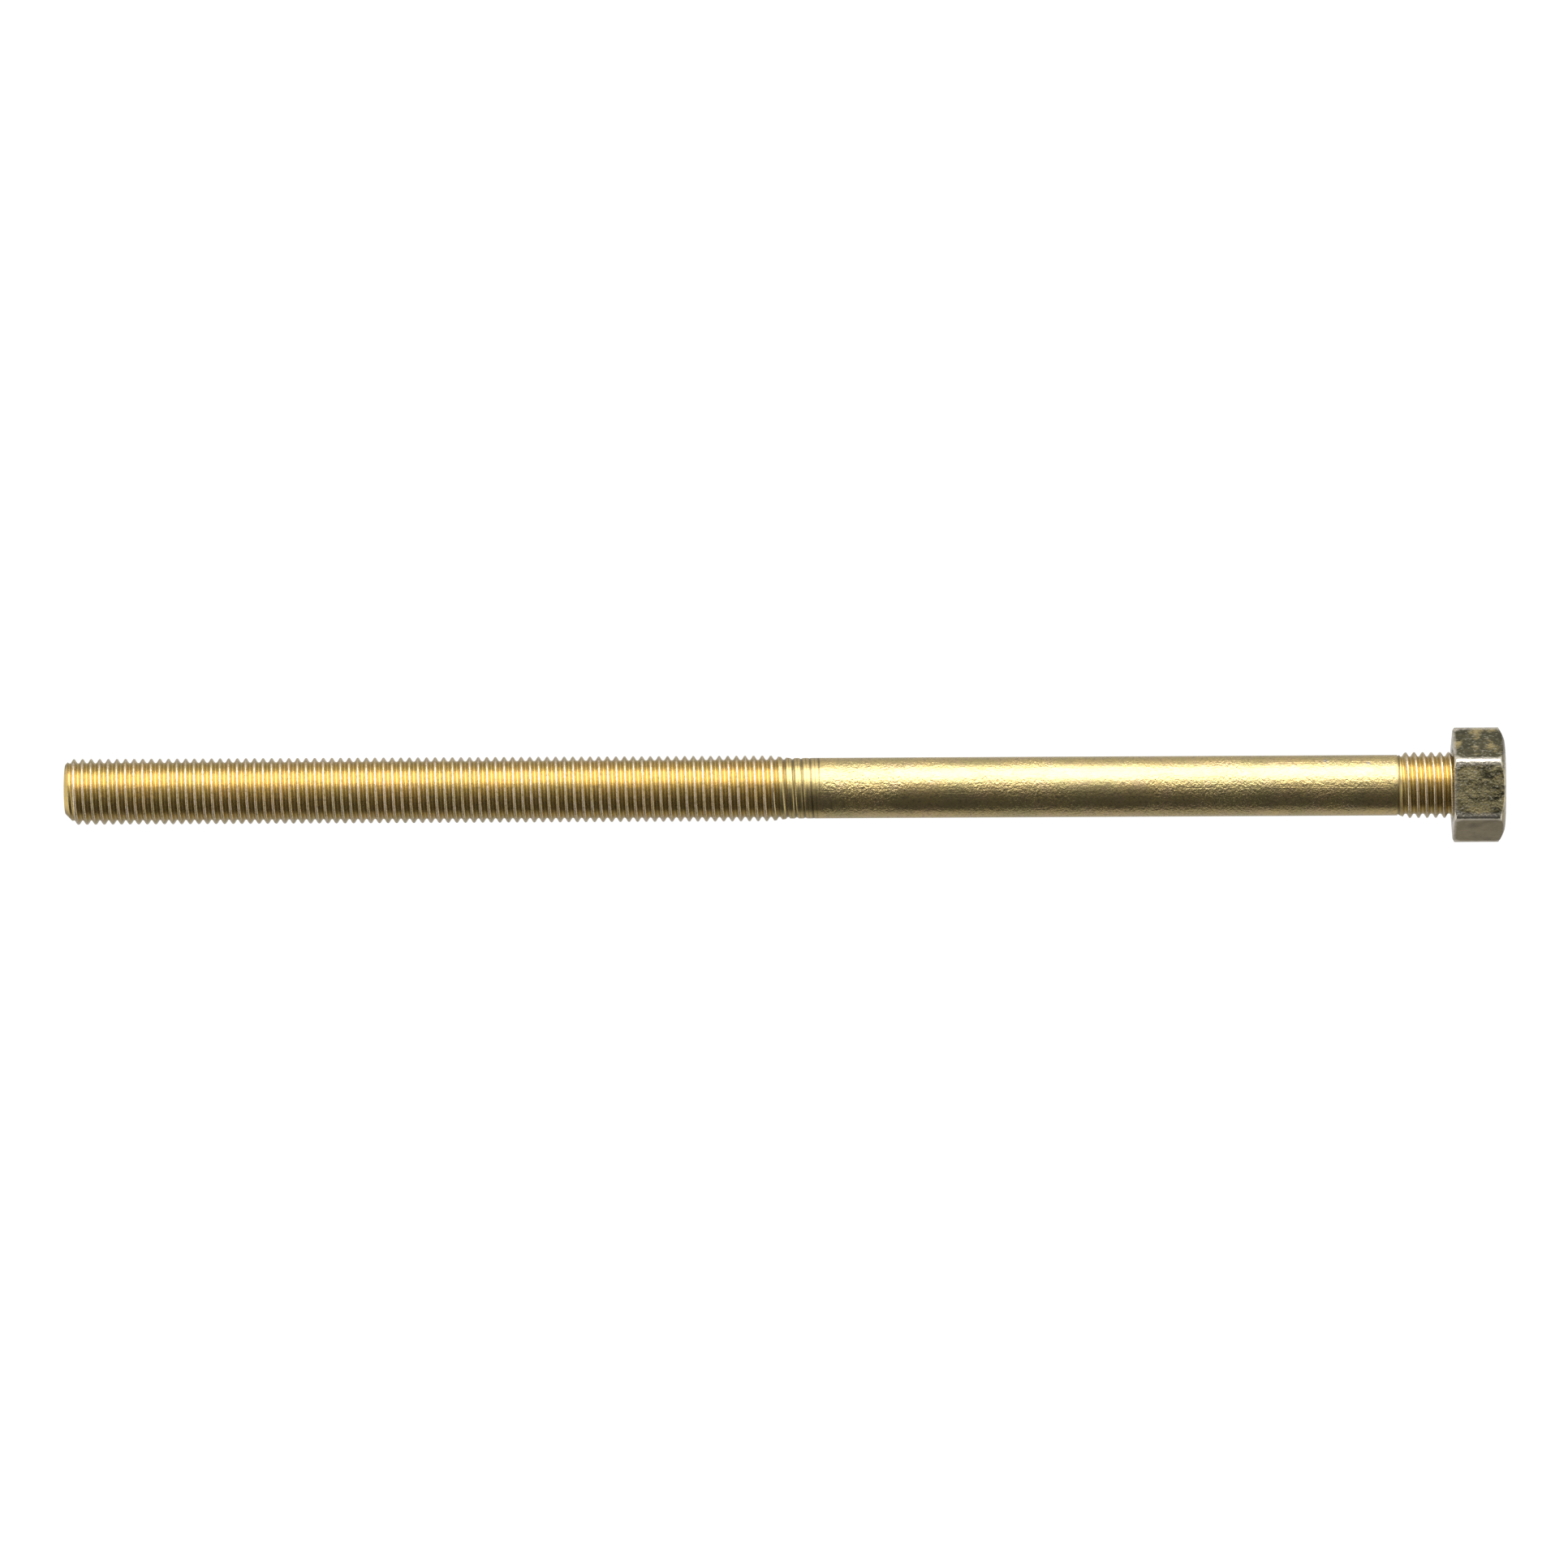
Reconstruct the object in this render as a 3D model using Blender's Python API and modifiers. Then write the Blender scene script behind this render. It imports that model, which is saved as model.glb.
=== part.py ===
"""A long double-end stud with a hex nut run flush onto its short thread, M20 x 2.5, rolled threads.

Metres, +Z up. The stud lies along X. The origin is the centre of the stud's end face at the nut end, and
+X points out of that end, so the whole stud lies on the -X side. Two of the nut's flats face +Z and -Z.
"""

import math

import bmesh
import bpy
from mathutils import Matrix

# Rolled external thread, right-hand, the same on both ends of the stud
THREAD_MAJOR_DIAMETER = 0.0191
THREAD_PITCH = 0.0025
THREAD_HEIGHT = 0.00125
THREAD_ROOT_WIDTH = 0.0006

# The stud, end to end
LONG_THREAD_LENGTH = 0.2185
SHANK_LENGTH = 0.168
SHORT_THREAD_LENGTH = 0.031
SHANK_UNDER_CRESTS = 0.00075
LONG_RUNOUT_LENGTH = 0.0138
SHORT_RUNOUT_LENGTH = 0.003
END_FACE_UNDER_ROOT = 0.0003
END_CHAMFER_ANGLE = math.radians(45)

# The nut
NUT_ACROSS_FLATS = 0.0292
NUT_THICKNESS = 0.0149
NUT_CORNER_ROUNDING = 0.001
NUT_CHAMFER_ANGLE = math.radians(30)
NUT_OUTER_FACE_INSIDE_FLATS = 0.0013
NUT_BEARING_FACE_PAST_FLATS = 0.0012
NUT_BORE_CLEARANCE = 0.0003
NUT_COUNTERSINK_RIM = 0.0006
NUT_COUNTERSINK_ANGLE = math.radians(30)

# How finely round things are faceted
THREAD_STEPS_PER_TURN = 16
NUT_ROUND_STEPS = 48
CORNER_SEGMENTS = 3
SMOOTH_BELOW_ANGLE = math.radians(28)

# Lengths that only have to reach past a face, or tell one point from the next
CUTTER_OVERRUN = 0.001
WELD_DISTANCE = 1e-6

# Derived sizes
MAJOR_RADIUS = THREAD_MAJOR_DIAMETER / 2
ROOT_RADIUS = MAJOR_RADIUS - THREAD_HEIGHT
SHANK_RADIUS = MAJOR_RADIUS - SHANK_UNDER_CRESTS
END_FACE_RADIUS = ROOT_RADIUS - END_FACE_UNDER_ROOT
STUD_LENGTH = LONG_THREAD_LENGTH + SHANK_LENGTH + SHORT_THREAD_LENGTH
NUT_FLAT_RADIUS = NUT_ACROSS_FLATS / 2
NUT_CORNER_RADIUS = NUT_FLAT_RADIUS / math.cos(math.pi / 6)
NUT_BORE_RADIUS = (MAJOR_RADIUS + NUT_BORE_CLEARANCE) / math.cos(math.pi / NUT_ROUND_STEPS)
NUT_COUNTERSINK_RADIUS = NUT_BORE_RADIUS + NUT_COUNTERSINK_RIM
NUT_COUNTERSINK_DEPTH = NUT_COUNTERSINK_RIM * math.tan(NUT_COUNTERSINK_ANGLE)


def thread_profile():
    """One pitch of the thread, crest to crest, as (distance along the stud, share of the height)."""
    root_start = (THREAD_PITCH - THREAD_ROOT_WIDTH) / 2
    return (
        (0.0, 1.0),
        (root_start, 0.0),
        (root_start + THREAD_ROOT_WIDTH, 0.0),
        (THREAD_PITCH, 1.0),
    )


def clear_scene():
    """Removes the objects of the scene that the script starts in."""
    for obj in list(bpy.data.objects):
        bpy.data.objects.remove(obj, do_unlink=True)


def new_collection(name):
    """A collection in the scene."""
    collection = bpy.data.collections.new(name)
    bpy.context.scene.collection.children.link(collection)
    return collection


def new_object(name, mesh, collection):
    """An object with this mesh, in this collection."""
    obj = bpy.data.objects.new(name, mesh)
    collection.objects.link(obj)
    return obj


def object_from_bmesh(name, bm, collection):
    """An object with the shape that was built in bm, which is freed."""
    mesh = bpy.data.meshes.new(name)
    bm.to_mesh(mesh)
    bm.free()
    return new_object(name, mesh, collection)


def metal(name, colour, roughness):
    """A metallic Principled material of one colour."""
    material = bpy.data.materials.new(name)
    material.use_nodes = True
    shader = material.node_tree.nodes["Principled BSDF"]
    shader.inputs["Base Color"].default_value = (*colour, 1.0)
    shader.inputs["Metallic"].default_value = 1.0
    shader.inputs["Roughness"].default_value = roughness
    return material


def shade(mesh):
    """Smooth shading on the round faces, with the real edges left sharp."""
    mesh.shade_smooth()
    mesh.set_sharp_from_angle(angle=SMOOTH_BELOW_ANGLE)


def thread_radius(share_of_height, from_end, to_shank, runout):
    """The stud's radius at a point of a threaded end.

    The end chamfer caps it near the end face. Along the run-out the rolling die draws out of the blank:
    its profile rises by the depth still to go, and the crest sinks to the shank's own radius.
    """
    chamfer_cap = END_FACE_RADIUS + from_end * math.tan(END_CHAMFER_ANGLE)
    faded = 1.0 - min(max(to_shank / runout, 0.0), 1.0)
    profile = ROOT_RADIUS + share_of_height * THREAD_HEIGHT
    drawn_out = profile + faded * (SHANK_RADIUS - ROOT_RADIUS)
    crest_cap = MAJOR_RADIUS + faded * (SHANK_RADIUS - MAJOR_RADIUS)
    return min(drawn_out, crest_cap, chamfer_cap)


def threaded_end(bm, start, length, end_face_first, runout):
    """Adds the surface of one threaded end, from x = start to start + length, open at both ends.

    It is a grid of one strip to each flank, wound round the axis one pitch for each turn. What winds past
    either end is held back to that end's plane, where every point of one angle has the same radius.
    """
    profile = thread_profile()
    steps = math.ceil((length / THREAD_PITCH + 1) * THREAD_STEPS_PER_TURN)
    strips = len(profile) - 1
    grid = bmesh.ops.create_grid(bm, x_segments=steps, y_segments=strips, size=0.5)
    for vert in grid["verts"]:
        step = round((vert.co.x + 0.5) * steps)
        along_profile, share_of_height = profile[round((vert.co.y + 0.5) * strips)]
        wound = (step / THREAD_STEPS_PER_TURN - 1) * THREAD_PITCH
        along = min(max(wound + along_profile, 0.0), length)
        from_end = along if end_face_first else length - along
        radius = thread_radius(share_of_height, from_end, length - from_end, runout)
        angle = math.tau * (step % THREAD_STEPS_PER_TURN) / THREAD_STEPS_PER_TURN
        vert.co = (start + along, radius * math.cos(angle), radius * math.sin(angle))
    bmesh.ops.remove_doubles(bm, verts=grid["verts"], dist=WELD_DISTANCE)


def ring_at(bm, x):
    """The open edges of the mesh that lie in the plane at x."""
    return [
        edge
        for edge in bm.edges
        if edge.is_boundary and all(abs(vert.co.x - x) < WELD_DISTANCE for vert in edge.verts)
    ]


def make_stud(collection):
    """The stud: long thread, plain shank and short thread in one closed mesh."""
    long_end = -STUD_LENGTH
    shank_start = long_end + LONG_THREAD_LENGTH
    shank_end = shank_start + SHANK_LENGTH
    bm = bmesh.new()
    threaded_end(bm, long_end, LONG_THREAD_LENGTH, True, LONG_RUNOUT_LENGTH)
    threaded_end(bm, shank_end, SHORT_THREAD_LENGTH, False, SHORT_RUNOUT_LENGTH)
    bmesh.ops.bridge_loops(bm, edges=ring_at(bm, shank_start) + ring_at(bm, shank_end))
    for end in (long_end, 0.0):
        bmesh.ops.edgeloop_fill(bm, edges=ring_at(bm, end))
    bmesh.ops.recalc_face_normals(bm, faces=bm.faces)
    stud = object_from_bmesh("double_end_stud", bm, collection)
    shade(stud.data)
    return stud


def turned_about_x(name, profile, collection):
    """A solid turned about X from (distance along X, radius) points, which start and end on the axis.

    The points run from the +X end to the -X end.
    """
    mesh = bpy.data.meshes.new(name)
    points = [(radius, 0.0, along) for along, radius in profile]
    mesh.from_pydata(points, [(i, i + 1) for i in range(len(points) - 1)], [])
    obj = new_object(name, mesh, collection)
    turn = obj.modifiers.new("turn", "SCREW")
    turn.steps = NUT_ROUND_STEPS
    turn.render_steps = NUT_ROUND_STEPS
    turn.use_merge_vertices = True
    turn.merge_threshold = WELD_DISTANCE
    obj.rotation_euler.y = math.pi / 2
    obj.hide_render = True
    obj.display_type = "WIRE"
    return obj


def nut_chamfer_form(cutters):
    """The turned form that the hexagon is trimmed to: two flat faces with a cone falling away from each."""
    half = NUT_THICKNESS / 2
    reach = NUT_CORNER_RADIUS + CUTTER_OVERRUN
    outer_face_radius = NUT_FLAT_RADIUS - NUT_OUTER_FACE_INSIDE_FLATS
    bearing_face_radius = NUT_FLAT_RADIUS + NUT_BEARING_FACE_PAST_FLATS
    slope = math.tan(NUT_CHAMFER_ANGLE)
    profile = (
        (half, 0.0),
        (half, outer_face_radius),
        (half - (reach - outer_face_radius) * slope, reach),
        ((reach - bearing_face_radius) * slope - half, reach),
        (-half, bearing_face_radius),
        (-half, 0.0),
    )
    return turned_about_x("nut_chamfer_form", profile, cutters)


def nut_bore_cutter(cutters):
    """The bore that clears the stud's crests, opening into a countersink at each face."""
    half = NUT_THICKNESS / 2
    past = half + CUTTER_OVERRUN
    profile = (
        (past, 0.0),
        (past, NUT_COUNTERSINK_RADIUS),
        (half, NUT_COUNTERSINK_RADIUS),
        (half - NUT_COUNTERSINK_DEPTH, NUT_BORE_RADIUS),
        (NUT_COUNTERSINK_DEPTH - half, NUT_BORE_RADIUS),
        (-half, NUT_COUNTERSINK_RADIUS),
        (-past, NUT_COUNTERSINK_RADIUS),
        (-past, 0.0),
    )
    return turned_about_x("nut_bore_cutter", profile, cutters)


def hexagon_blank(name, collection):
    """A hexagonal bar along X with rounded corners, a little longer than the nut, flats up and down."""
    bm = bmesh.new()
    bmesh.ops.create_cone(
        bm,
        cap_ends=True,
        segments=6,
        radius1=NUT_CORNER_RADIUS,
        radius2=NUT_CORNER_RADIUS,
        depth=NUT_THICKNESS + 2 * CUTTER_OVERRUN,
        matrix=Matrix.Rotation(math.pi / 2, 4, "Y"),
    )
    corners = [edge for edge in bm.edges if abs(edge.verts[0].co.x - edge.verts[1].co.x) > NUT_THICKNESS]
    bmesh.ops.rotate(bm, verts=bm.verts, matrix=Matrix.Rotation(flat_up_angle(corners), 3, "X"))
    bmesh.ops.bevel(
        bm,
        geom=corners,
        offset=NUT_CORNER_ROUNDING * math.tan(math.pi / 6),
        offset_type="OFFSET",
        segments=CORNER_SEGMENTS,
        profile=0.5,
        affect="EDGES",
    )
    return object_from_bmesh(name, bm, collection)


def flat_up_angle(corners):
    """The turn about X that brings a corner of the hexagon onto the Y axis, so that flats face +-Z."""
    corner = corners[0].verts[0].co
    return -math.atan2(corner.z, corner.y)


def make_nut(collection, cutters):
    """The nut, its outer face flush with the stud's end face and its origin on the stud's axis."""
    nut = hexagon_blank("hex_nut", collection)
    nut.location.x = -NUT_THICKNESS / 2
    for operation, cutter in (
        ("INTERSECT", nut_chamfer_form(cutters)),
        ("DIFFERENCE", nut_bore_cutter(cutters)),
    ):
        cutter.location = nut.location
        cut = nut.modifiers.new(cutter.name, "BOOLEAN")
        cut.operation = operation
        cut.object = cutter
    apply_modifiers(nut)
    shade(nut.data)
    return nut


def apply_modifiers(obj):
    """Turns the object's modifiers into its mesh."""
    depsgraph = bpy.context.evaluated_depsgraph_get()
    finished = bpy.data.meshes.new_from_object(obj.evaluated_get(depsgraph))
    obj.modifiers.clear()
    obj.data = finished
    finished.name = obj.name


def main():
    clear_scene()
    collection = new_collection("hex_bolt")
    cutters = new_collection("cutters")
    stud = make_stud(collection)
    nut = make_nut(collection, cutters)
    stud.data.materials.append(metal("yellow_zinc_bright", (0.62, 0.50, 0.24), 0.25))
    nut.data.materials.append(metal("yellow_zinc_dull", (0.40, 0.36, 0.22), 0.40))


main()
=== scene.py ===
"""The look of a long double-end stud with a hex nut as its head, in yellow chromated zinc.

Everything is in metres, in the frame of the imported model: the stud lies along X, with the nut at its +X end.
"""

import logging
import math
from dataclasses import dataclass, field
from enum import Enum

import bmesh
import bpy
from mathutils import Matrix, Vector


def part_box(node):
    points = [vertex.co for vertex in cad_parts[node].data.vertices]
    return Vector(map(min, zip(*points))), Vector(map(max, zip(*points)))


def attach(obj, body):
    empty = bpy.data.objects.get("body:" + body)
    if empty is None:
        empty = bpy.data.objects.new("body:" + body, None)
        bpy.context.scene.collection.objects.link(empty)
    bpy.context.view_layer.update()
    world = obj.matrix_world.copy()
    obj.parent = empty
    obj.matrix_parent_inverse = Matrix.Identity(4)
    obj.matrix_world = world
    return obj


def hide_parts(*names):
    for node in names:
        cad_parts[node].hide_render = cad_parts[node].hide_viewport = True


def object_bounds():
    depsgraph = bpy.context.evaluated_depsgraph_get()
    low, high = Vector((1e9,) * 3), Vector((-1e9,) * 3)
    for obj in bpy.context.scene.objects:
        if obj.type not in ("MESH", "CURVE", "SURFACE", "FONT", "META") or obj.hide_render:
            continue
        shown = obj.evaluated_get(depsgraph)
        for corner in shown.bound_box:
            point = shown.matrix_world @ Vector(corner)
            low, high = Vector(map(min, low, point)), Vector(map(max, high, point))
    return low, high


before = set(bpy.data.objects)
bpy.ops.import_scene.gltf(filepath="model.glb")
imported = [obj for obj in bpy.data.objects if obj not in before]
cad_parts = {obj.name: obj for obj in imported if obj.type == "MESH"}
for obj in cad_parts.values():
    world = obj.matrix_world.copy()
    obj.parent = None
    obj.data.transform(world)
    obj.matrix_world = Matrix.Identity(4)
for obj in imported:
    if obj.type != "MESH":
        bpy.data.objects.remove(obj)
CAD_LOW, CAD_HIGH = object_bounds()

LOG = logging.getLogger("hex_bolt")
MILLIMETRE = 0.001
WELD_DISTANCE = 1e-6
RING_TOLERANCE = 1e-5
SLIVER_WIDTH = 3e-5
FULL_TURN = math.tau
Number = float | int
Triple = tuple[float, float, float]
Colour = Triple


class Finish(Enum):
    """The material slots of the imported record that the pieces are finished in."""

    STUD = "stud_zinc"
    NUT = "nut_zinc"


class Body(Enum):
    """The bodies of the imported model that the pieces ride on."""

    STUD = "stud"
    NUT = "nut"


# ---------------------------------------------------------------- formulas in node trees


class Term:
    """A number inside a node tree. Arithmetic on it adds Math nodes to that tree."""

    def __init__(self, graph: "Graph", socket: bpy.types.NodeSocket) -> None:
        """Wraps an output socket.

        Args:
            graph: the tree that the socket is in.
            socket: the output that carries the number.
        """
        self.graph = graph
        self.socket = socket

    def __add__(self, other: "Term | Number") -> "Term":
        """self + other."""
        return self.graph.math("ADD", self, other)

    def __radd__(self, other: Number) -> "Term":
        """other + self."""
        return self.graph.math("ADD", other, self)

    def __sub__(self, other: "Term | Number") -> "Term":
        """self - other."""
        return self.graph.math("SUBTRACT", self, other)

    def __rsub__(self, other: Number) -> "Term":
        """other - self."""
        return self.graph.math("SUBTRACT", other, self)

    def __mul__(self, other: "Term | Number") -> "Term":
        """self times other."""
        return self.graph.math("MULTIPLY", self, other)

    def __rmul__(self, other: Number) -> "Term":
        """other times self."""
        return self.graph.math("MULTIPLY", other, self)

    def __truediv__(self, other: "Term | Number") -> "Term":
        """self over other."""
        return self.graph.math("DIVIDE", self, other)


class Graph:
    """A node tree under construction, with short ways to add the nodes that this file uses."""

    def __init__(self, tree: bpy.types.NodeTree) -> None:
        """Takes over a tree.

        Args:
            tree: a geometry, material or world tree.
        """
        self.tree = tree

    def node(self, kind: str, **settings: object) -> bpy.types.Node:
        """Adds a node.

        Args:
            kind: the node's type name.
            settings: attributes to set on it.

        Returns:
            The new node.
        """
        made = self.tree.nodes.new(kind)
        for name, value in settings.items():
            setattr(made, name, value)
        return made

    def feed(self, socket: bpy.types.NodeSocket, value: object) -> None:
        """Links a Term or a socket into an input, or sets the input to a constant.

        Args:
            socket: the input.
            value: a Term, an output socket or a constant.
        """
        if isinstance(value, Term):
            self.tree.links.new(value.socket, socket)
        elif isinstance(value, bpy.types.NodeSocket):
            self.tree.links.new(value, socket)
        else:
            socket.default_value = value

    def term(self, socket: bpy.types.NodeSocket) -> Term:
        """An output socket as a number to calculate with."""
        return Term(self, socket)

    def math(self, operation: str, *values: Term | Number, clamp: bool = False) -> Term:
        """Adds a Math node.

        Args:
            operation: the node's operation.
            values: its one to three inputs.
            clamp: whether the result is held between 0 and 1.

        Returns:
            The result.
        """
        made = self.node("ShaderNodeMath", operation=operation, use_clamp=clamp)
        for socket, value in zip(made.inputs, values):
            self.feed(socket, value)
        return self.term(made.outputs[0])

    def between(self, value: Term, low: Term | Number, high: Term | Number) -> Term:
        """The value, held between low and high."""
        return self.math("MINIMUM", self.math("MAXIMUM", value, low), high)

    def ramp(self, value: Term, start: Term | Number, end: Term | Number) -> Term:
        """0 up to start, 1 from end on, and a straight line between them."""
        return self.math("DIVIDE", value - start, _difference(end, start), clamp=True)

    def vector(self, x: Term | Number, y: Term | Number, z: Term | Number) -> bpy.types.NodeSocket:
        """Three numbers as a vector.

        Args:
            x: the first.
            y: the second.
            z: the third.

        Returns:
            The vector's socket.
        """
        made = self.node("ShaderNodeCombineXYZ")
        for socket, value in zip(made.inputs, (x, y, z)):
            self.feed(socket, value)
        return made.outputs[0]


def _difference(a: Term | Number, b: Term | Number) -> Term | Number:
    """a - b, for any mix of terms and plain numbers."""
    return a - b


# ---------------------------------------------------------------- geometry


@dataclass(frozen=True)
class ThreadForm:
    """The cross-section of a rolled thread: narrow crests, 60 degree flanks and wide round roots."""

    pitch: float = 2.5 * MILLIMETRE
    height: float = 1.25 * MILLIMETRE
    root_rounding: float = 0.50 * MILLIMETRE
    crest_rounding: float = 0.42 * MILLIMETRE
    flank_angle: float = math.radians(60)

    def height_at(self, graph: Graph, from_root: Term) -> Term:
        """The height above the root, for points across one groove.

        Args:
            graph: the tree to add the formula to.
            from_root: the distance along the stud from the middle of the root.

        Returns:
            The height: a round root, a straight flank that starts where the round has the flank's slope,
            and a crest that is softly cut off at the thread's height.
        """
        arc_half_width = self.root_rounding * math.sin(self.flank_angle)
        beside = graph.math("MINIMUM", from_root, arc_half_width)
        chord = graph.math("SQRT", self.root_rounding**2 - beside * beside)
        arc = self.root_rounding - chord
        past_arc = graph.math("MAXIMUM", from_root - arc_half_width, 0.0)
        slope = past_arc * math.tan(self.flank_angle)
        return graph.math("SMOOTH_MIN", arc + slope, self.height, self.crest_rounding)


@dataclass(frozen=True)
class ThreadedEnd:
    """One threaded end of the stud, as the inputs of the tree that makes it."""

    start: float
    length: float
    end_face_first: bool
    root_runout: float
    crest_low: float
    crest_full: float
    shoulder: float = 0.0
    end_wear: float = 0.0


@dataclass(frozen=True)
class ThreadTree:
    """The Geometry Nodes tree that winds a grid round the axis into the surface of a threaded end."""

    form: ThreadForm = ThreadForm()
    steps_per_turn: int = 56
    strips: int = 14
    crest_gathering: float = 0.11

    def build(self) -> tuple[bpy.types.NodeTree, dict[str, str]]:
        """Builds the tree.

        Returns:
            The tree, and the identifier of each of its named inputs.
        """
        tree = bpy.data.node_groups.new("threaded_end", "GeometryNodeTree")
        graph = Graph(tree)
        names = (
            "Start", "Length", "End Face First", "Crest Radius", "Blank Radius", "End Face Radius",
            "Chamfer Slope", "Root Runout", "Crest Low", "Crest Full", "Shoulder", "End Wear",
        )
        identifiers = {}
        for name in names:
            made = tree.interface.new_socket(name=name, in_out="INPUT", socket_type="NodeSocketFloat")
            identifiers[name] = made.identifier
        made = tree.interface.new_socket(name="Material", in_out="INPUT", socket_type="NodeSocketMaterial")
        identifiers["Material"] = made.identifier
        tree.interface.new_socket(name="Geometry", in_out="OUTPUT", socket_type="NodeSocketGeometry")
        entry = graph.node("NodeGroupInput")
        given = {name: graph.term(entry.outputs[name]) for name in names}

        turns = given["Length"] / self.form.pitch + 1.0
        steps = graph.math("CEIL", turns * float(self.steps_per_turn))
        grid = graph.node("GeometryNodeMeshGrid")
        graph.feed(grid.inputs["Size X"], steps)
        graph.feed(grid.inputs["Size Y"], 1.0)
        graph.feed(grid.inputs["Vertices X"], steps + 1.0)
        graph.feed(grid.inputs["Vertices Y"], self.strips + 1)
        place = graph.node("ShaderNodeSeparateXYZ")
        graph.feed(place.inputs[0], graph.node("GeometryNodeInputPosition").outputs[0])
        step = graph.math("ROUND", graph.term(place.outputs["X"]) + steps * 0.5)
        across = graph.term(place.outputs["Y"]) + 0.5
        gathered = across - self.crest_gathering * graph.math("SINE", across * FULL_TURN)

        wound = (step / float(self.steps_per_turn) - 1.0 + gathered) * self.form.pitch
        along = graph.between(wound, 0.0, given["Length"])
        from_root = graph.math("ABSOLUTE", gathered - 0.5) * self.form.pitch
        angle = graph.math("MODULO", step, float(self.steps_per_turn)) * (FULL_TURN / self.steps_per_turn)
        radius = self._radius(graph, given, along, from_root, angle)
        wrap = graph.vector(
            given["Start"] + along,
            radius * graph.math("COSINE", angle),
            radius * graph.math("SINE", angle),
        )
        placed = graph.node("GeometryNodeSetPosition")
        graph.feed(placed.inputs["Geometry"], grid.outputs["Mesh"])
        graph.feed(placed.inputs["Position"], wrap)
        welded = graph.node("GeometryNodeMergeByDistance")
        graph.feed(welded.inputs["Geometry"], placed.outputs["Geometry"])
        graph.feed(welded.inputs["Distance"], WELD_DISTANCE)
        whole = graph.node("GeometryNodeRealizeInstances")
        graph.feed(whole.inputs["Geometry"], welded.outputs["Geometry"])
        dressed = graph.node("GeometryNodeSetMaterial")
        graph.feed(dressed.inputs["Geometry"], whole.outputs["Geometry"])
        graph.feed(dressed.inputs["Material"], entry.outputs["Material"])
        leave = graph.node("NodeGroupOutput")
        graph.feed(leave.inputs["Geometry"], dressed.outputs["Geometry"])
        return tree, identifiers

    def _radius(
        self, graph: Graph, given: dict[str, Term], along: Term, from_root: Term, angle: Term
    ) -> Term:
        """The radius of each point of a threaded end.

        Args:
            graph: the tree to add the formula to.
            given: the tree's inputs by name.
            along: the point's distance from the start of the end.
            from_root: its distance from the middle of the groove.
            angle: its angle round the axis.

        Returns:
            The radius: the thread's form, faded out towards the shank and cut by the end chamfer, which
            is worn further back on the side away from the angle's zero.
        """
        ahead = given["Length"] - along
        first = given["End Face First"]
        to_shank = ahead * first + along * (1.0 - first)
        from_end = along * first + ahead * (1.0 - first)
        crest, blank = given["Crest Radius"], given["Blank Radius"]
        root = crest - self.form.height
        left = 1.0 - graph.ramp(to_shank, 0.0, given["Root Runout"])
        drawn_out = root + self.form.height_at(graph, from_root) + left * left * (blank - root)
        lowest = blank - given["Shoulder"]
        cap = lowest + graph.ramp(to_shank, given["Crest Low"], given["Crest Full"]) * (crest - lowest)
        worn = given["End Wear"] * (1.0 - graph.math("COSINE", angle)) * 0.5
        chamfer = given["End Face Radius"] - worn + from_end * given["Chamfer Slope"]
        return graph.math("MINIMUM", graph.math("MINIMUM", drawn_out, cap), chamfer)


def evaluated_mesh(obj: bpy.types.Object) -> bpy.types.Mesh:
    """The object's mesh with its modifiers applied."""
    depsgraph = bpy.context.evaluated_depsgraph_get()
    return bpy.data.meshes.new_from_object(obj.evaluated_get(depsgraph))


def placed(name: str, mesh: bpy.types.Mesh) -> bpy.types.Object:
    """A new object, at the origin of the scene.

    Args:
        name: its name.
        mesh: its mesh.

    Returns:
        The object.
    """
    obj = bpy.data.objects.new(name, mesh)
    bpy.context.scene.collection.objects.link(obj)
    return obj


def discard(*objects: bpy.types.Object) -> None:
    """Removes helper objects."""
    for obj in objects:
        bpy.data.objects.remove(obj, do_unlink=True)


def run_boolean(obj: bpy.types.Object, cutter: bpy.types.Object, operation: str) -> None:
    """Cuts an object with a solid, or joins the two, and keeps the result as its mesh.

    Args:
        obj: the object to change.
        cutter: the other solid, which is removed afterwards.
        operation: INTERSECT, DIFFERENCE or UNION.
    """
    cut = obj.modifiers.new("cut", "BOOLEAN")
    cut.operation = operation
    cut.solver = "EXACT"
    cut.object = cutter
    finished = evaluated_mesh(obj)
    obj.modifiers.clear()
    obj.data = finished
    discard(cutter)


def weld_slivers(mesh: bpy.types.Mesh) -> None:
    """Welds the slivers that a cut leaves, so that the edges can be rounded without opening the mesh.

    Args:
        mesh: the mesh to weld.
    """
    bm = bmesh.new()
    bm.from_mesh(mesh)
    bmesh.ops.remove_doubles(bm, verts=bm.verts, dist=SLIVER_WIDTH)
    bmesh.ops.recalc_face_normals(bm, faces=bm.faces)
    bm.to_mesh(mesh)
    bm.free()


def soften(mesh: bpy.types.Mesh, angle: float) -> None:
    """Smooth shading, with edges sharper than the angle left sharp."""
    mesh.shade_smooth()
    mesh.set_sharp_from_angle(angle=angle)


def ring_at(bm: bmesh.types.BMesh, x: float) -> list[bmesh.types.BMEdge]:
    """The open edges that lie in the plane at x."""
    return [
        edge
        for edge in bm.edges
        if edge.is_boundary and all(abs(vert.co.x - x) < RING_TOLERANCE for vert in edge.verts)
    ]


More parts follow.
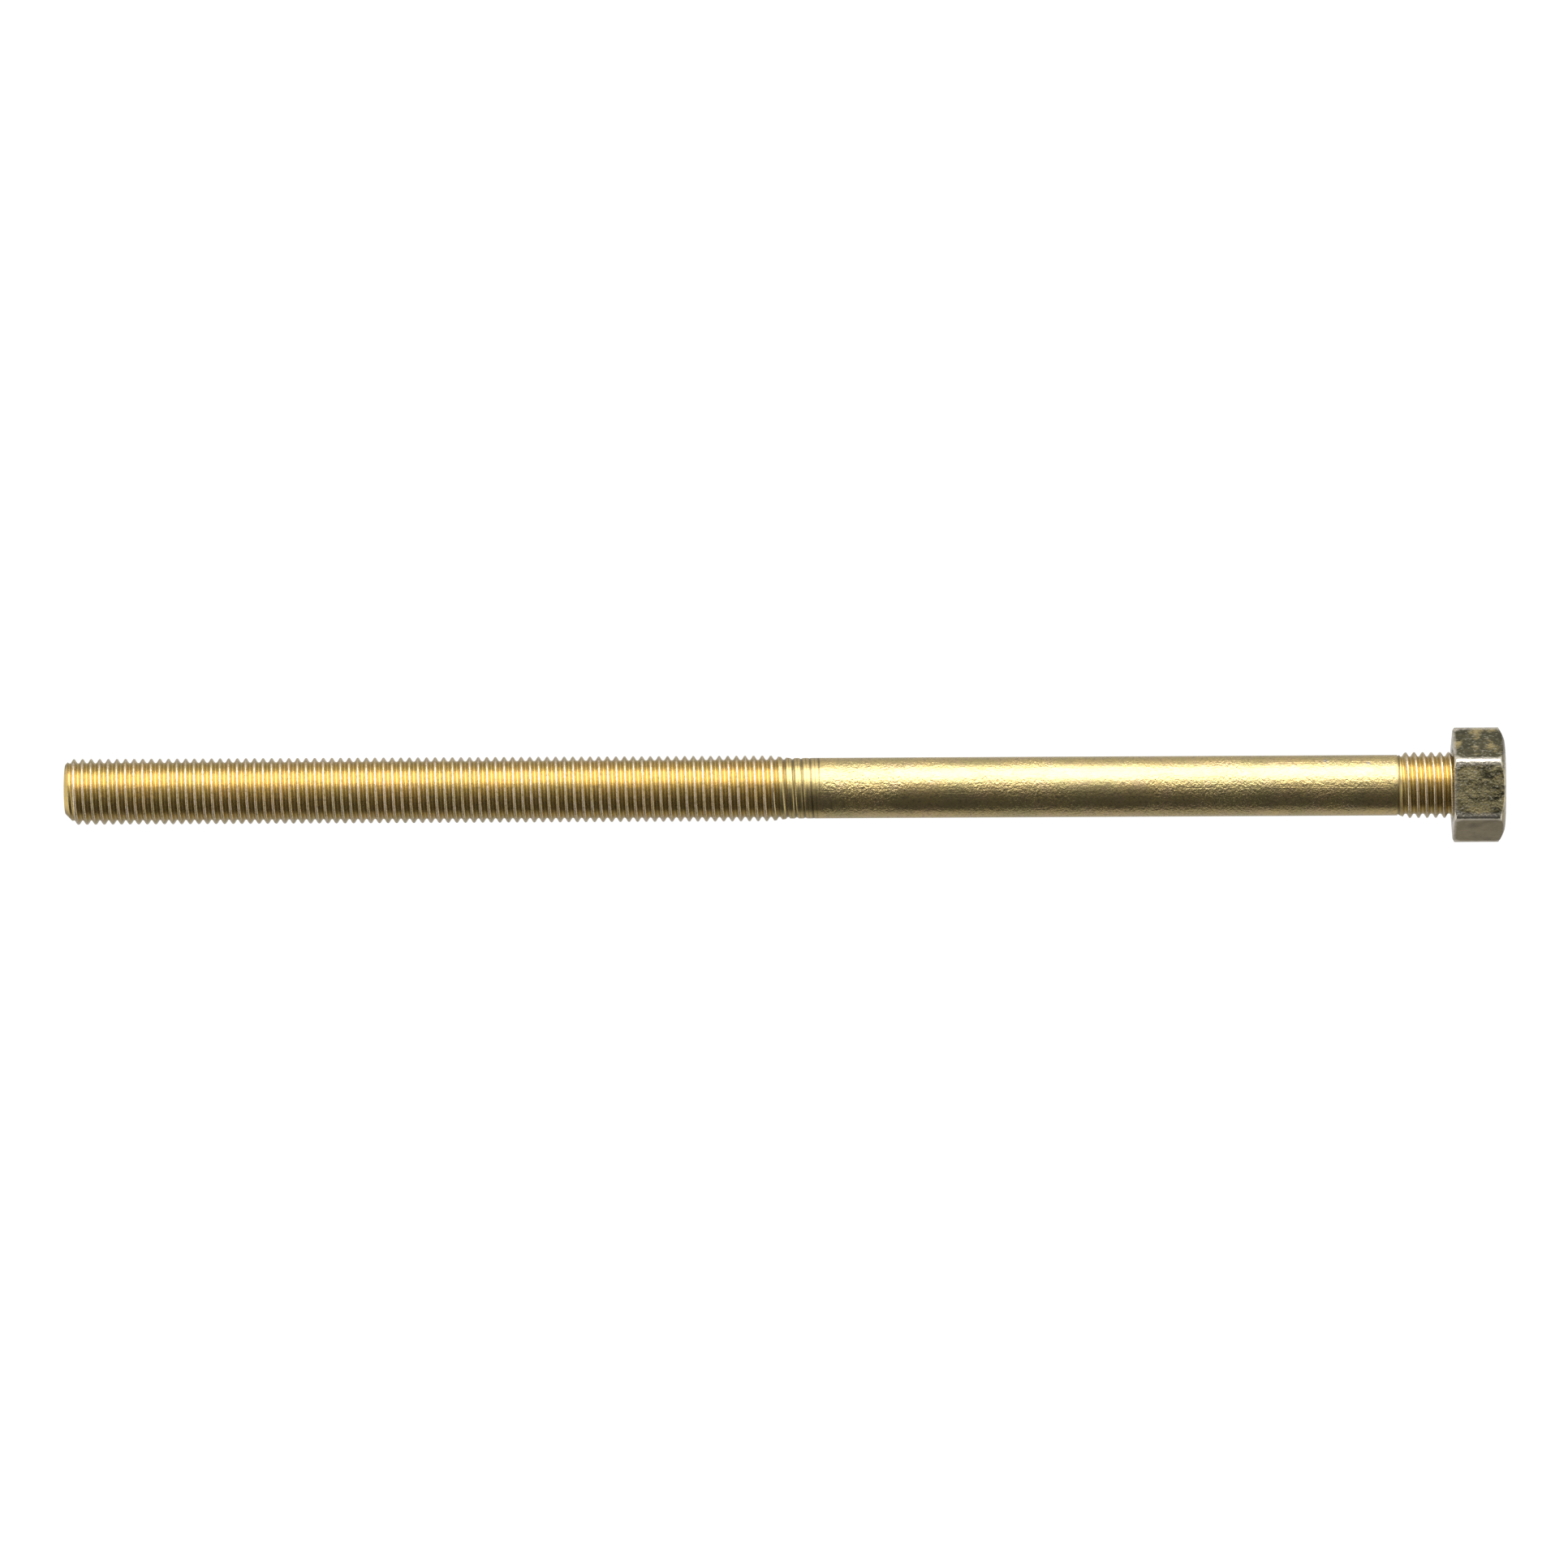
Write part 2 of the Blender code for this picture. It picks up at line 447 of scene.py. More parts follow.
def dished_end(
    bm: bmesh.types.BMesh, x: float, inward: float, dish: tuple[tuple[float, float], ...]
) -> None:
    """Closes an open end with a shallow dish, as the cropped and rolled end of a stud has.

    Args:
        bm: the mesh, open in the plane at x.
        x: the end's plane.
        inward: +1 or -1, the direction into the metal along X.
        dish: (share of the radius, depth) of each ring from the rim inwards.
    """
    rim = ring_at(bm, x)
    for vert in {vert for edge in rim for vert in edge.verts}:
        vert.co.x = x
    reached = 1.0
    for share, depth in dish:
        grown = bmesh.ops.extrude_edge_only(bm, edges=rim)["geom"]
        for vert in (item for item in grown if isinstance(item, bmesh.types.BMVert)):
            vert.co = (x + inward * depth, vert.co.y * share / reached, vert.co.z * share / reached)
        reached = share
        rim = [item for item in grown if isinstance(item, bmesh.types.BMEdge) and item.is_boundary]
    bmesh.ops.edgeloop_fill(bm, edges=rim)


@dataclass
class Stud:
    """The stud: a long rolled thread, a plain shank and a short rolled thread."""

    long_thread: float = 218.5 * MILLIMETRE
    short_thread: float = 31.0 * MILLIMETRE
    shank_radius: float = 8.8 * MILLIMETRE
    end_face_under_root: float = 0.3 * MILLIMETRE
    chamfer_angle: float = math.radians(45)
    long_fade: Triple = (13.8 * MILLIMETRE, 8.0 * MILLIMETRE, 13.8 * MILLIMETRE)
    short_fade: Triple = (0.4 * MILLIMETRE, 0.2 * MILLIMETRE, 2.6 * MILLIMETRE)
    shoulder: float = 0.25 * MILLIMETRE
    end_wear: float = 1.5 * MILLIMETRE
    shank_rings: int = 24
    sharp_over: float = math.radians(40)
    dish: tuple[tuple[float, float], ...] = (
        (0.96, 0.0),
        (0.88, 0.05 * MILLIMETRE),
        (0.60, 0.16 * MILLIMETRE),
        (0.30, 0.20 * MILLIMETRE),
    )
    tree: ThreadTree = field(default_factory=ThreadTree)

    def finish(self) -> "BrightZinc":
        """The stud's finish, which changes where the threads begin and end.

        Returns:
            The finish.
        """
        low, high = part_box("double_end_stud")
        return BrightZinc(
            crest=high.y,
            root=high.y - self.tree.form.height,
            pitch=self.tree.form.pitch,
            thread_start=low.x,
            shank_start=low.x + self.long_thread,
            shank_end=high.x - self.short_thread,
        )

    def build(self, material: bpy.types.Material) -> bpy.types.Object:
        """Builds the stud in one closed mesh.

        Args:
            material: what it is made of.

        Returns:
            The finished piece, undressed.
        """
        low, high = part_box("double_end_stud")
        crest = high.y
        shank_start = low.x + self.long_thread
        shank_end = high.x - self.short_thread
        ends = (
            ThreadedEnd(low.x, self.long_thread, True, *self.long_fade, end_wear=self.end_wear),
            ThreadedEnd(shank_end, self.short_thread, False, *self.short_fade, shoulder=self.shoulder),
        )
        bm = bmesh.new()
        for end in ends:
            mesh = self.threaded_mesh(end, crest, material)
            bm.from_mesh(mesh)
            bpy.data.meshes.remove(mesh)
        self.step_up(bm, shank_end)
        bridge = bmesh.ops.bridge_loops(bm, edges=ring_at(bm, shank_start) + ring_at(bm, shank_end))
        lengthwise = [edge for edge in bridge["edges"] if abs(edge.verts[0].co.x - edge.verts[1].co.x) > 0.01]
        bmesh.ops.subdivide_edges(bm, edges=lengthwise, cuts=self.shank_rings)
        dished_end(bm, low.x, 1.0, self.dish)
        dished_end(bm, high.x, -1.0, self.dish)
        bmesh.ops.recalc_face_normals(bm, faces=bm.faces)
        mesh = bpy.data.meshes.new("double_end_stud_fine")
        bm.to_mesh(mesh)
        bm.free()
        mesh.materials.append(material)
        soften(mesh, self.sharp_over)
        return placed("stud_fine", mesh)

    def step_up(self, bm: bmesh.types.BMesh, x: float) -> None:
        """Adds the sharp lip where the shank stands over the first groove.

        Args:
            bm: the mesh, open in the plane at x.
            x: the plane, in which the lip is a flat ring.
        """
        grown = bmesh.ops.extrude_edge_only(bm, edges=ring_at(bm, x))["geom"]
        for vert in (item for item in grown if isinstance(item, bmesh.types.BMVert)):
            outward = vert.co.yz.normalized() * self.shank_radius
            vert.co = (x, outward.x, outward.y)

    def threaded_mesh(self, end: ThreadedEnd, crest: float, material: bpy.types.Material) -> bpy.types.Mesh:
        """Runs the thread's tree.

        Args:
            end: where the threaded end is and how it fades.
            crest: the radius of the crests.
            material: what it is made of.

        Returns:
            The surface, open at both ends.
        """
        tree, identifiers = self.tree.build()
        holder = placed("thread_holder", bpy.data.meshes.new("thread_holder"))
        winding = holder.modifiers.new("wind", "NODES")
        winding.node_group = tree
        values = {
            "Start": end.start,
            "Length": end.length,
            "End Face First": float(end.end_face_first),
            "Crest Radius": crest,
            "Blank Radius": self.shank_radius,
            "End Face Radius": crest - self.tree.form.height - self.end_face_under_root,
            "Chamfer Slope": math.tan(self.chamfer_angle),
            "Root Runout": end.root_runout,
            "Crest Low": end.crest_low,
            "Crest Full": end.crest_full,
            "Shoulder": end.shoulder,
            "End Wear": end.end_wear,
            "Material": material,
        }
        for name, value in values.items():
            winding[identifiers[name]] = value
        mesh = evaluated_mesh(holder)
        holder.modifiers.clear()
        discard(holder)
        bpy.data.node_groups.remove(tree)
        return mesh

    def dress(self, piece: bpy.types.Object) -> None:
        """Reports the stud to the frame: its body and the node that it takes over.

        Args:
            piece: the finished stud.
        """
        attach(piece, Body.STUD.value)
        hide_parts("double_end_stud")


@dataclass
class Nut:
    """The hex nut: rounded corners, chamfers on both faces and a threaded bore that turns clear of the stud."""

    chamfer_angle: float = math.radians(30)
    outer_face_inside_flats: float = 1.3 * MILLIMETRE
    bearing_face_past_flats: float = 1.2 * MILLIMETRE
    edge_softening: float = 0.32 * MILLIMETRE
    bore_over_crests: float = 0.08 * MILLIMETRE
    bore_thread_height: float = 0.65 * MILLIMETRE
    countersink_rim: float = 1.05 * MILLIMETRE
    countersink_angle: float = math.radians(35)
    overrun: float = 1.0 * MILLIMETRE
    chamfer_bow: float = 0.22 * MILLIMETRE
    bow_steps: int = 6
    round_steps: int = 180
    corner_steps: int = 8
    edge_steps: int = 3
    rounded_over: float = math.radians(18)
    sharp_over: float = math.radians(32)
    tap_root_rounding: float = 0.4 * MILLIMETRE
    tap_steps_per_turn: int = 48
    tap_strips: int = 10

    def finish(self) -> "DullZinc":
        """The nut's finish, which changes towards its faces and corners.

        Returns:
            The finish.
        """
        low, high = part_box("hex_nut")
        return DullZinc(middle=(low.x + high.x) / 2, half_width=(high.x - low.x) / 2, flat_radius=high.z)

    def build(self, material: bpy.types.Material) -> bpy.types.Object:
        """Builds the nut in one closed mesh.

        Args:
            material: what it is made of.

        Returns:
            The finished piece, undressed.
        """
        low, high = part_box("hex_nut")
        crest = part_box("double_end_stud")[1].y
        nut = self.hexagon(low.x, high.x, high.z, high.y)
        run_boolean(nut, self.chamfer_form(low.x, high.x, high.z), "INTERSECT")
        weld_slivers(nut.data)
        self.round_edges(nut)
        run_boolean(nut, self.bore(low.x, high.x, crest, material), "DIFFERENCE")
        mesh = nut.data
        mesh.materials.clear()
        mesh.materials.append(material)
        mesh.name = "hex_nut_fine"
        soften(mesh, self.sharp_over)
        nut.name = "nut_fine"
        return nut

    def hexagon(self, low_x: float, high_x: float, flat_radius: float, reach: float) -> bpy.types.Object:
        """A hexagonal bar with rounded corners, a little longer than the nut.

        Args:
            low_x: the nut's bearing face.
            high_x: its outer face.
            flat_radius: the distance from the axis to a flat.
            reach: the distance from the axis to the top of a rounded corner.

        Returns:
            The bar as an object.
        """
        corner = flat_radius / math.cos(math.pi / 6)
        rounding = (corner - reach) / (1 / math.cos(math.pi / 6) - 1)
        bm = bmesh.new()
        turn = Matrix.Rotation(math.pi / 2, 4, "Y")
        bmesh.ops.create_cone(
            bm, cap_ends=True, segments=6, radius1=corner, radius2=corner,
            depth=high_x - low_x + 2 * self.overrun, matrix=turn,
        )
        corners = [edge for edge in bm.edges if abs(edge.verts[0].co.x - edge.verts[1].co.x) > self.overrun]
        first = corners[0].verts[0].co
        level = Matrix.Rotation(-math.atan2(first.z, first.y), 3, "X")
        bmesh.ops.rotate(bm, verts=bm.verts, matrix=level)
        bmesh.ops.translate(bm, verts=bm.verts, vec=((low_x + high_x) / 2, 0, 0))
        bmesh.ops.bevel(
            bm, geom=corners, offset=rounding * math.tan(math.pi / 6), offset_type="OFFSET",
            segments=self.corner_steps, profile=0.5, affect="EDGES",
        )
        mesh = bpy.data.meshes.new("hexagon")
        bm.to_mesh(mesh)
        bm.free()
        return placed("hexagon", mesh)

    def turned(self, name: str, profile: tuple[tuple[float, float], ...]) -> bpy.types.Object:
        """A solid turned about X.

        Args:
            name: the object's name.
            profile: (distance along X, radius) points from the +X end, starting and ending on the axis.

        Returns:
            The solid as an object.
        """
        bm = bmesh.new()
        verts = [bm.verts.new((x, radius, 0.0)) for x, radius in profile]
        edges = [bm.edges.new(pair) for pair in zip(verts, verts[1:])]
        bmesh.ops.spin(
            bm, geom=verts + edges, axis=(1, 0, 0), cent=(0, 0, 0), angle=FULL_TURN, steps=self.round_steps,
            use_merge=True,
        )
        bmesh.ops.remove_doubles(bm, verts=bm.verts, dist=WELD_DISTANCE)
        bmesh.ops.recalc_face_normals(bm, faces=bm.faces)
        mesh = bpy.data.meshes.new(name)
        bm.to_mesh(mesh)
        bm.free()
        return placed(name, mesh)

    def chamfer_form(self, low_x: float, high_x: float, flat_radius: float) -> bpy.types.Object:
        """The turned form that trims the hexagon.

        Args:
            low_x: the nut's bearing face.
            high_x: its outer face.
            flat_radius: the distance from the axis to a flat.

        Returns:
            Two flat faces with a cone falling away from each; the outer one is a little bowed.
        """
        reach = flat_radius / math.cos(math.pi / 6) + self.overrun
        outer = flat_radius - self.outer_face_inside_flats
        bearing = flat_radius + self.bearing_face_past_flats
        slope = math.tan(self.chamfer_angle)
        bowed = []
        for step in range(self.bow_steps + 1):
            share = step / self.bow_steps
            bow = 4 * self.chamfer_bow * share * (1 - share)
            along = high_x - (reach - outer) * slope * share + bow * math.cos(self.chamfer_angle)
            bowed.append((along, outer + (reach - outer) * share + bow * math.sin(self.chamfer_angle)))
        return self.turned("chamfer_form", (
            (high_x, 0.0),
            *bowed,
            (low_x + (reach - bearing) * slope, reach),
            (low_x, bearing),
            (low_x, 0.0),
        ))

    def round_edges(self, nut: bpy.types.Object) -> None:
        """Softens every edge that is still sharp.

        Args:
            nut: the nut, whose mesh is replaced.
        """
        rounding = nut.modifiers.new("soften", "BEVEL")
        rounding.width = self.edge_softening
        rounding.segments = self.edge_steps
        rounding.limit_method = "ANGLE"
        rounding.angle_limit = self.rounded_over
        finished = evaluated_mesh(nut)
        nut.modifiers.clear()
        nut.data = finished

    def bore(
        self, low_x: float, high_x: float, crest: float, material: bpy.types.Material
    ) -> bpy.types.Object:
        """The tap that cuts the bore: a threaded rod with a countersink cone at each face.

        Args:
            low_x: the nut's bearing face.
            high_x: its outer face.
            crest: the radius of the stud's crests.
            material: what the cut is made of.

        Returns:
            The cutter as an object.
        """
        minor = crest + self.bore_over_crests
        major = minor + self.bore_thread_height
        rim = minor + self.countersink_rim
        slope = math.tan(self.countersink_angle)
        tap = self.tap(low_x - self.overrun, high_x + self.overrun, minor, major, material)
        for face, outward in ((high_x, 1.0), (low_x, -1.0)):
            depth = self.countersink_rim * slope
            reach = outward * 2 * self.overrun
            profile = [(face + reach, 0.0), (face + reach, rim), (face, rim)]
            profile += [(face - outward * depth, minor), (face - outward * depth, 0.0)]
            if outward < 0:
                profile.reverse()
            cone = self.turned("countersink", tuple(profile))
            run_boolean(tap, cone, "UNION")
        return tap

    def tap(
        self, start: float, end: float, minor: float, major: float, material: bpy.types.Material
    ) -> bpy.types.Object:
        """A plain threaded rod, as a closed solid.

        Args:
            start: its low end.
            end: its high end.
            minor: the radius that it cuts the nut's crests to.
            major: the radius that it cuts the nut's roots to.
            material: what the cut is made of.

        Returns:
            The rod as an object.
        """
        form = ThreadForm(height=major - minor, root_rounding=self.tap_root_rounding)
        cutter_tree = ThreadTree(form=form, steps_per_turn=self.tap_steps_per_turn, strips=self.tap_strips)
        helper = Stud(shank_radius=minor, tree=cutter_tree, end_face_under_root=0.0)
        whole = ThreadedEnd(start, end - start, True, self.overrun, 0.0, self.overrun)
        bm = bmesh.new()
        bm.from_mesh(helper.threaded_mesh(whole, major, material))
        for x in (start, end):
            bmesh.ops.edgeloop_fill(bm, edges=ring_at(bm, x))
        bmesh.ops.recalc_face_normals(bm, faces=bm.faces)
        mesh = bpy.data.meshes.new("tap")
        bm.to_mesh(mesh)
        bm.free()
        return placed("tap", mesh)

    def dress(self, piece: bpy.types.Object) -> None:
        """Reports the nut to the frame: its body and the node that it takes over.

        Args:
            piece: the finished nut.
        """
        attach(piece, Body.NUT.value)
        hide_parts("hex_nut")


# ---------------------------------------------------------------- finishes


class FinishGraph(Graph):
    """A metal's node tree, with the textures that both finishes use."""

    def __init__(self, material: bpy.types.Material) -> None:
        """Starts from a material that has only its Principled shader and output.

        Args:
            material: the material to fill in.
        """
        material.use_nodes = True
        super().__init__(material.node_tree)
        self.shader = material.node_tree.nodes["Principled BSDF"]
        coordinates = self.node("ShaderNodeTexCoord")
        self.place = coordinates.outputs["Object"]
        parts = self.node("ShaderNodeSeparateXYZ")
        self.feed(parts.inputs[0], self.place)
        self.x, self.y, self.z = (self.term(socket) for socket in parts.outputs)
        self.radius = self.math("SQRT", self.y * self.y + self.z * self.z)

    def noise(
        self, scale: float, detail: float = 3.0, stretch: Triple = (1.0, 1.0, 1.0), shift: float = 0.0,
        at: bpy.types.NodeSocket | None = None, rough: float = 0.5,
    ) -> Term:
        """Cloudy noise between 0 and 1.

        Args:
            scale: features per metre.
            detail: how many finer layers it has.
            stretch: how much denser it is along each axis.
            shift: moves it, so that two uses differ.
            at: where it is read, if not at the object's coordinates.
            rough: how strong the finer layers are.

        Returns:
            The noise.
        """
        mapping = self.node("ShaderNodeMapping")
        self.feed(mapping.inputs["Vector"], at or self.place)
        self.feed(mapping.inputs["Scale"], stretch)
        self.feed(mapping.inputs["Location"], (shift, shift * 0.7, shift * 1.3))
        made = self.node("ShaderNodeTexNoise")
        self.feed(made.inputs["Vector"], mapping.outputs[0])
        self.feed(made.inputs["Scale"], scale)
        self.feed(made.inputs["Detail"], detail)
        self.feed(made.inputs["Roughness"], rough)
        return self.term(made.outputs["Fac"])

    def blend(self, share: Term | float, first: object, second: object) -> bpy.types.NodeSocket:
        """Mixes two colours.

        Args:
            share: how much of the second.
            first: a colour or a colour socket.
            second: a colour or a colour socket.

        Returns:
            The mixed colour.
        """
        made = self.node("ShaderNodeMix", data_type="RGBA", blend_type="MIX")
        for socket, value in zip((made.inputs[0], made.inputs[6], made.inputs[7]), (share, first, second)):
            self.feed(socket, (*value, 1.0) if isinstance(value, tuple) else value)
        return made.outputs[2]

    def relief(self, height: Term, depth: float) -> None:
        """Bends the surface by a height pattern.

        Args:
            height: the pattern.
            depth: how far apart 0 and 1 of the pattern are.
        """
        bump = self.node("ShaderNodeBump")
        self.feed(bump.inputs["Strength"], 1.0)
        self.feed(bump.inputs["Distance"], depth)
        self.feed(bump.inputs["Height"], height)
        self.feed(self.shader.inputs["Normal"], bump.outputs[0])


@dataclass(frozen=True)
class BrightZinc:
    """The stud's finish: bright yellow chromate, with painted shade darkening the roots and paler crests that
    are partly wear and partly a painted highlight.
    """

    crest: float
    root: float
    pitch: float
    thread_start: float
    shank_start: float
    shank_end: float
    gold: Colour = (0.72, 0.545, 0.235)
    olive: Colour = (0.58, 0.49, 0.22)
    rose: Colour = (0.70, 0.49, 0.30)
    # painted shade: the colour that darkens the thread's roots as if the thread shaded them
    painted_root_shade: Colour = (0.55, 0.39, 0.125)
    # crest colour: partly rubbed wear, partly a painted highlight on the crests
    pale: Colour = (0.80, 0.67, 0.52)
    tarnish: Colour = (0.42, 0.33, 0.17)
    grime: Colour = (0.15, 0.115, 0.06)
    fading_zone: tuple[float, float] = (14.0 * MILLIMETRE, 9.0 * MILLIMETRE)
    neck_groove: float = 0.35 * MILLIMETRE
    roughness: float = 0.23
    stains: tuple[Triple, ...] = (
        (-51.9 * MILLIMETRE, 7.6 * MILLIMETRE, 4.4 * MILLIMETRE),
        (-39.4 * MILLIMETRE, 7.1 * MILLIMETRE, 5.2 * MILLIMETRE),
    )
    stain_radius: float = 1.1 * MILLIMETRE
    stain: Colour = (0.34, 0.33, 0.33)

    def material(self) -> bpy.types.Material:
        """Builds the material.

        Returns:
            The material.
        """
        material = bpy.data.materials.new("bright_yellow_zinc")
        graph = FinishGraph(material)
        on_shank = graph.ramp(graph.x, self.shank_start, self.shank_start + self.pitch) * (
            1.0 - graph.ramp(graph.x, self.shank_end - 0.5 * MILLIMETRE, self.shank_end)
        )
        graph.feed(graph.shader.inputs["Base Color"], self._colour(graph, on_shank))
        graph.shader.inputs["Metallic"].default_value = 1.0
        cloud = graph.noise(700.0, 3.0, shift=4.0)
        roughness = self.roughness + (cloud - 0.5) * 0.16 + (1.0 - on_shank) * 0.05
        graph.feed(graph.shader.inputs["Roughness"], roughness)
        graph.relief(self._height(graph, on_shank), 0.16 * MILLIMETRE)
        return material

    def _colour(self, graph: FinishGraph, on_shank: Term) -> bpy.types.NodeSocket:
        """The chromate's colour: gold that drifts to olive and rose, with painted shade darkening the thread's
        roots and paler crests that are partly wear and partly a painted highlight.
        """
        drift = graph.ramp(graph.noise(75.0, 2.0, shift=1.0), 0.38, 0.62)
        blush = graph.ramp(graph.noise(230.0, 3.0, shift=2.0), 0.48, 0.68)
        colour = graph.blend(drift * 0.8, self.gold, self.olive)
        colour = graph.blend(blush * 0.45, colour, self.rose)
        height = graph.ramp(graph.radius, self.root, self.crest)
        off_shank = 1.0 - on_shank
        # painted shade: the low parts of the thread, the roots, are darkened off the shank
        low = (1.0 - graph.ramp(height, 0.05, 0.60)) * off_shank
        colour = graph.blend(low * 0.8, colour, self.painted_root_shade)
        # paler crests: partly wear, partly a painted highlight that brightens the crest lines
        worn = graph.ramp(height, 0.66, 0.92) * off_shank
        uneven = graph.ramp(graph.noise(170.0, 4.0, shift=10.0, rough=0.65), 0.38, 0.62)
        colour = graph.blend(worn * (uneven * 0.6 + 0.25), colour, self.pale)
        fleck = graph.ramp(graph.noise(1100.0, 3.0, shift=3.0, rough=0.65), 0.51, 0.63)
        colour = graph.blend(fleck * 0.7, colour, self.tarnish)
        colour = graph.blend(self._fading_lines(graph) * 0.75, colour, self.grime)
        off_groove = graph.math("ABSOLUTE", graph.x - (self.shank_end + self.neck_groove))
        neck = 1.0 - graph.ramp(off_groove, self.neck_groove * 0.6, self.neck_groove * 1.4)
        colour = graph.blend(neck * 0.6, colour, self.grime)
        for spot in self.stains:
            colour = graph.blend(self._stain(graph, spot) * 0.8, colour, self.stain)
        return colour

    def _fading_lines(self, graph: FinishGraph) -> Term:
        """The dark lines where the long thread fades: each groove's bottom, and the seam between two grooves."""
        around = graph.math("ARCTAN2", graph.z, graph.y) / FULL_TURN
        swing = graph.math("COSINE", ((graph.x - self.thread_start) / self.pitch - around) * FULL_TURN)
        groove = graph.ramp(-1.0 * swing, 0.45, 0.92)
        seam = graph.ramp(swing, 0.90, 0.99)
        far, near = (self.shank_start - reach for reach in self.fading_zone)
        past = self.shank_start + 0.6 * MILLIMETRE
        zone = graph.ramp(graph.x, far, near) * (1.0 - graph.ramp(graph.x, past, past + 0.3 * MILLIMETRE))
        return graph.math("MAXIMUM", groove, seam * 0.7) * zone

    def _stain(self, graph: FinishGraph, spot: Triple) -> Term:
        """How much of a small blue-grey stain there is at each point."""
        squares = [(axis - at) * (axis - at) for axis, at in zip((graph.x, graph.y, graph.z), spot)]
        distance = graph.math("SQRT", squares[0] + squares[1] + squares[2])
        ragged = distance + (graph.noise(900.0, 4.0, shift=9.0, rough=0.7) - 0.5) * self.stain_radius * 3.2
        return 1.0 - graph.ramp(ragged, self.stain_radius * 0.2, self.stain_radius * 0.9)

    def _height(self, graph: FinishGraph, on_shank: Term) -> Term:
        """The relief: a fine grain all over, drawing lines along the shank, rolling lines along the thread."""
        grain = graph.noise(1250.0, 2.0, shift=5.0, rough=0.65) * 1.9
        patches = graph.ramp(graph.noise(60.0, 1.0, shift=6.0), 0.35, 0.6) * 0.6 + 0.4
        drawn = graph.noise(1800.0, 2.0, stretch=(0.012, 1.0, 1.0), shift=7.0)
        scratch = graph.ramp(graph.noise(900.0, 1.0, stretch=(0.02, 1.0, 1.0), shift=8.0), 0.66, 0.70)
        shank = on_shank * (drawn * 0.05 - scratch * 0.10)
        around = graph.math("ARCTAN2", graph.z, graph.y) / FULL_TURN
        phase = (graph.x / self.pitch - around) * FULL_TURN
        loop = graph.vector(graph.math("COSINE", phase), graph.math("SINE", phase), graph.x * 6.0)
        rolled = graph.noise(7.0, 2.0, at=loop)
        thread = (1.0 - on_shank) * rolled * 0.12
        return grain * patches * (0.15 + on_shank * 0.85) + shank + thread


